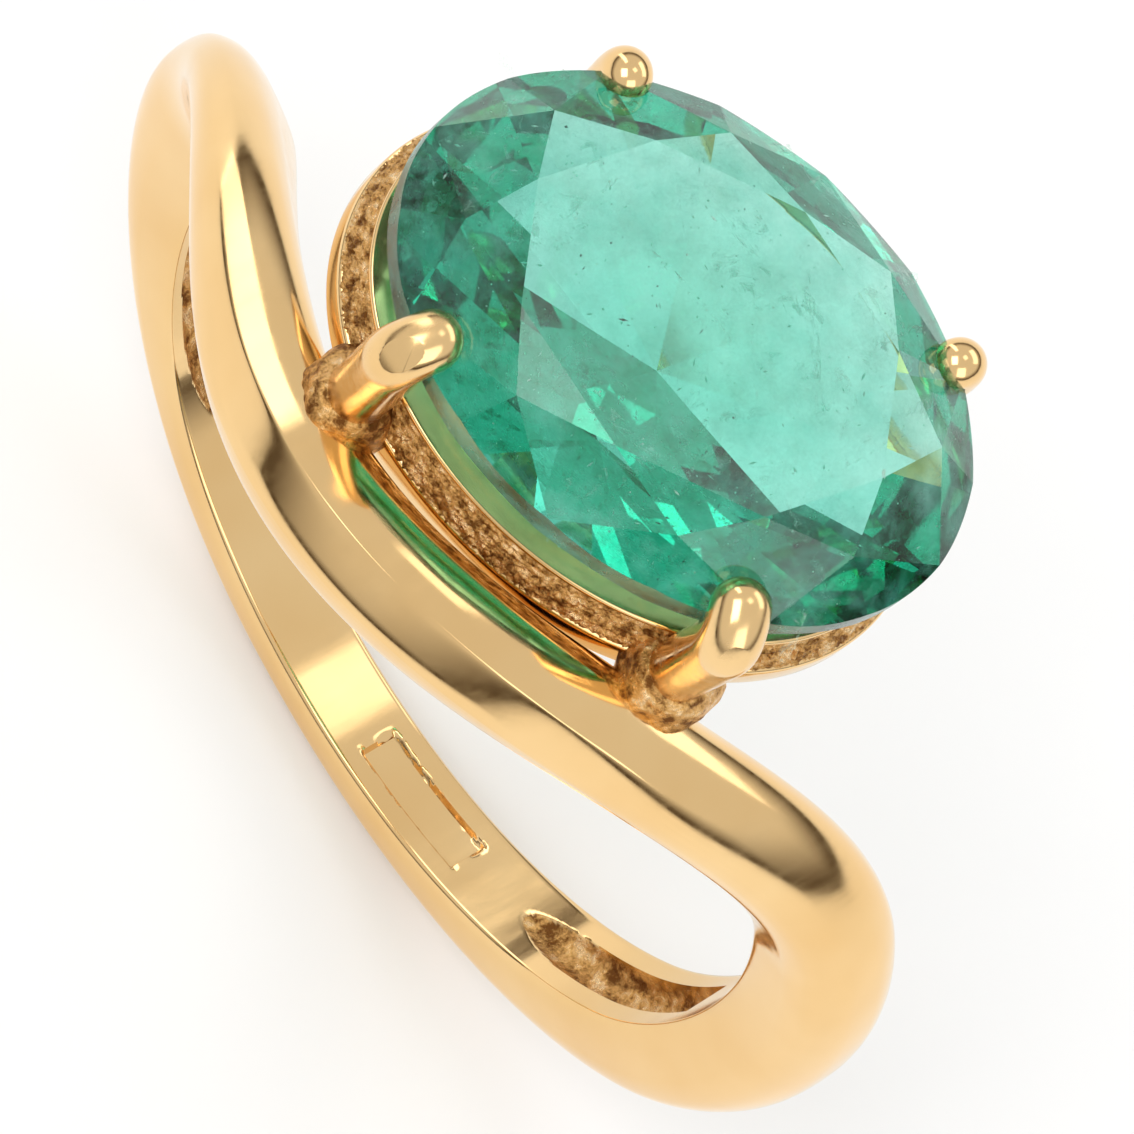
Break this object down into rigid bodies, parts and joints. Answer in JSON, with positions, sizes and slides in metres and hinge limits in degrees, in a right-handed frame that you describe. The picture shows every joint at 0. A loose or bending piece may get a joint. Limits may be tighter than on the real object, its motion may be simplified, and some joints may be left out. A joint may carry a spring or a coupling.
{
  "type": "cocktail ring",
  "caption": "Gold bypass ring whose softly ridged band sweeps under an oval emerald, which claw prongs hold in a railed oval basket standing off to one side of the band.",
  "frame": {"origin": "centre of the finger hole, on its axis", "axes": "+Z from the middle of the finger up through the stone, Y along the finger with the near side of the ring at -Y, +X across the hand"},
  "size_m": [0.0213, 0.0112, 0.0233],
  "materials": {
    "gold": "polished",
    "cast_gold": "rough as cast",
    "emerald": "polished facets"
  },
  "bodies": {
    "root": {"shank": "gold", "lower_gallery_rail": "gold", "gallery_wall": "cast_gold", "upper_gallery_rail": "gold", "prong_near_left": "gold", "prong_near_right": "gold", "prong_far_left": "gold", "prong_far_right": "gold", "solder_fillets": "cast_gold", "emerald": "emerald"}
  },
  "joints": []
}
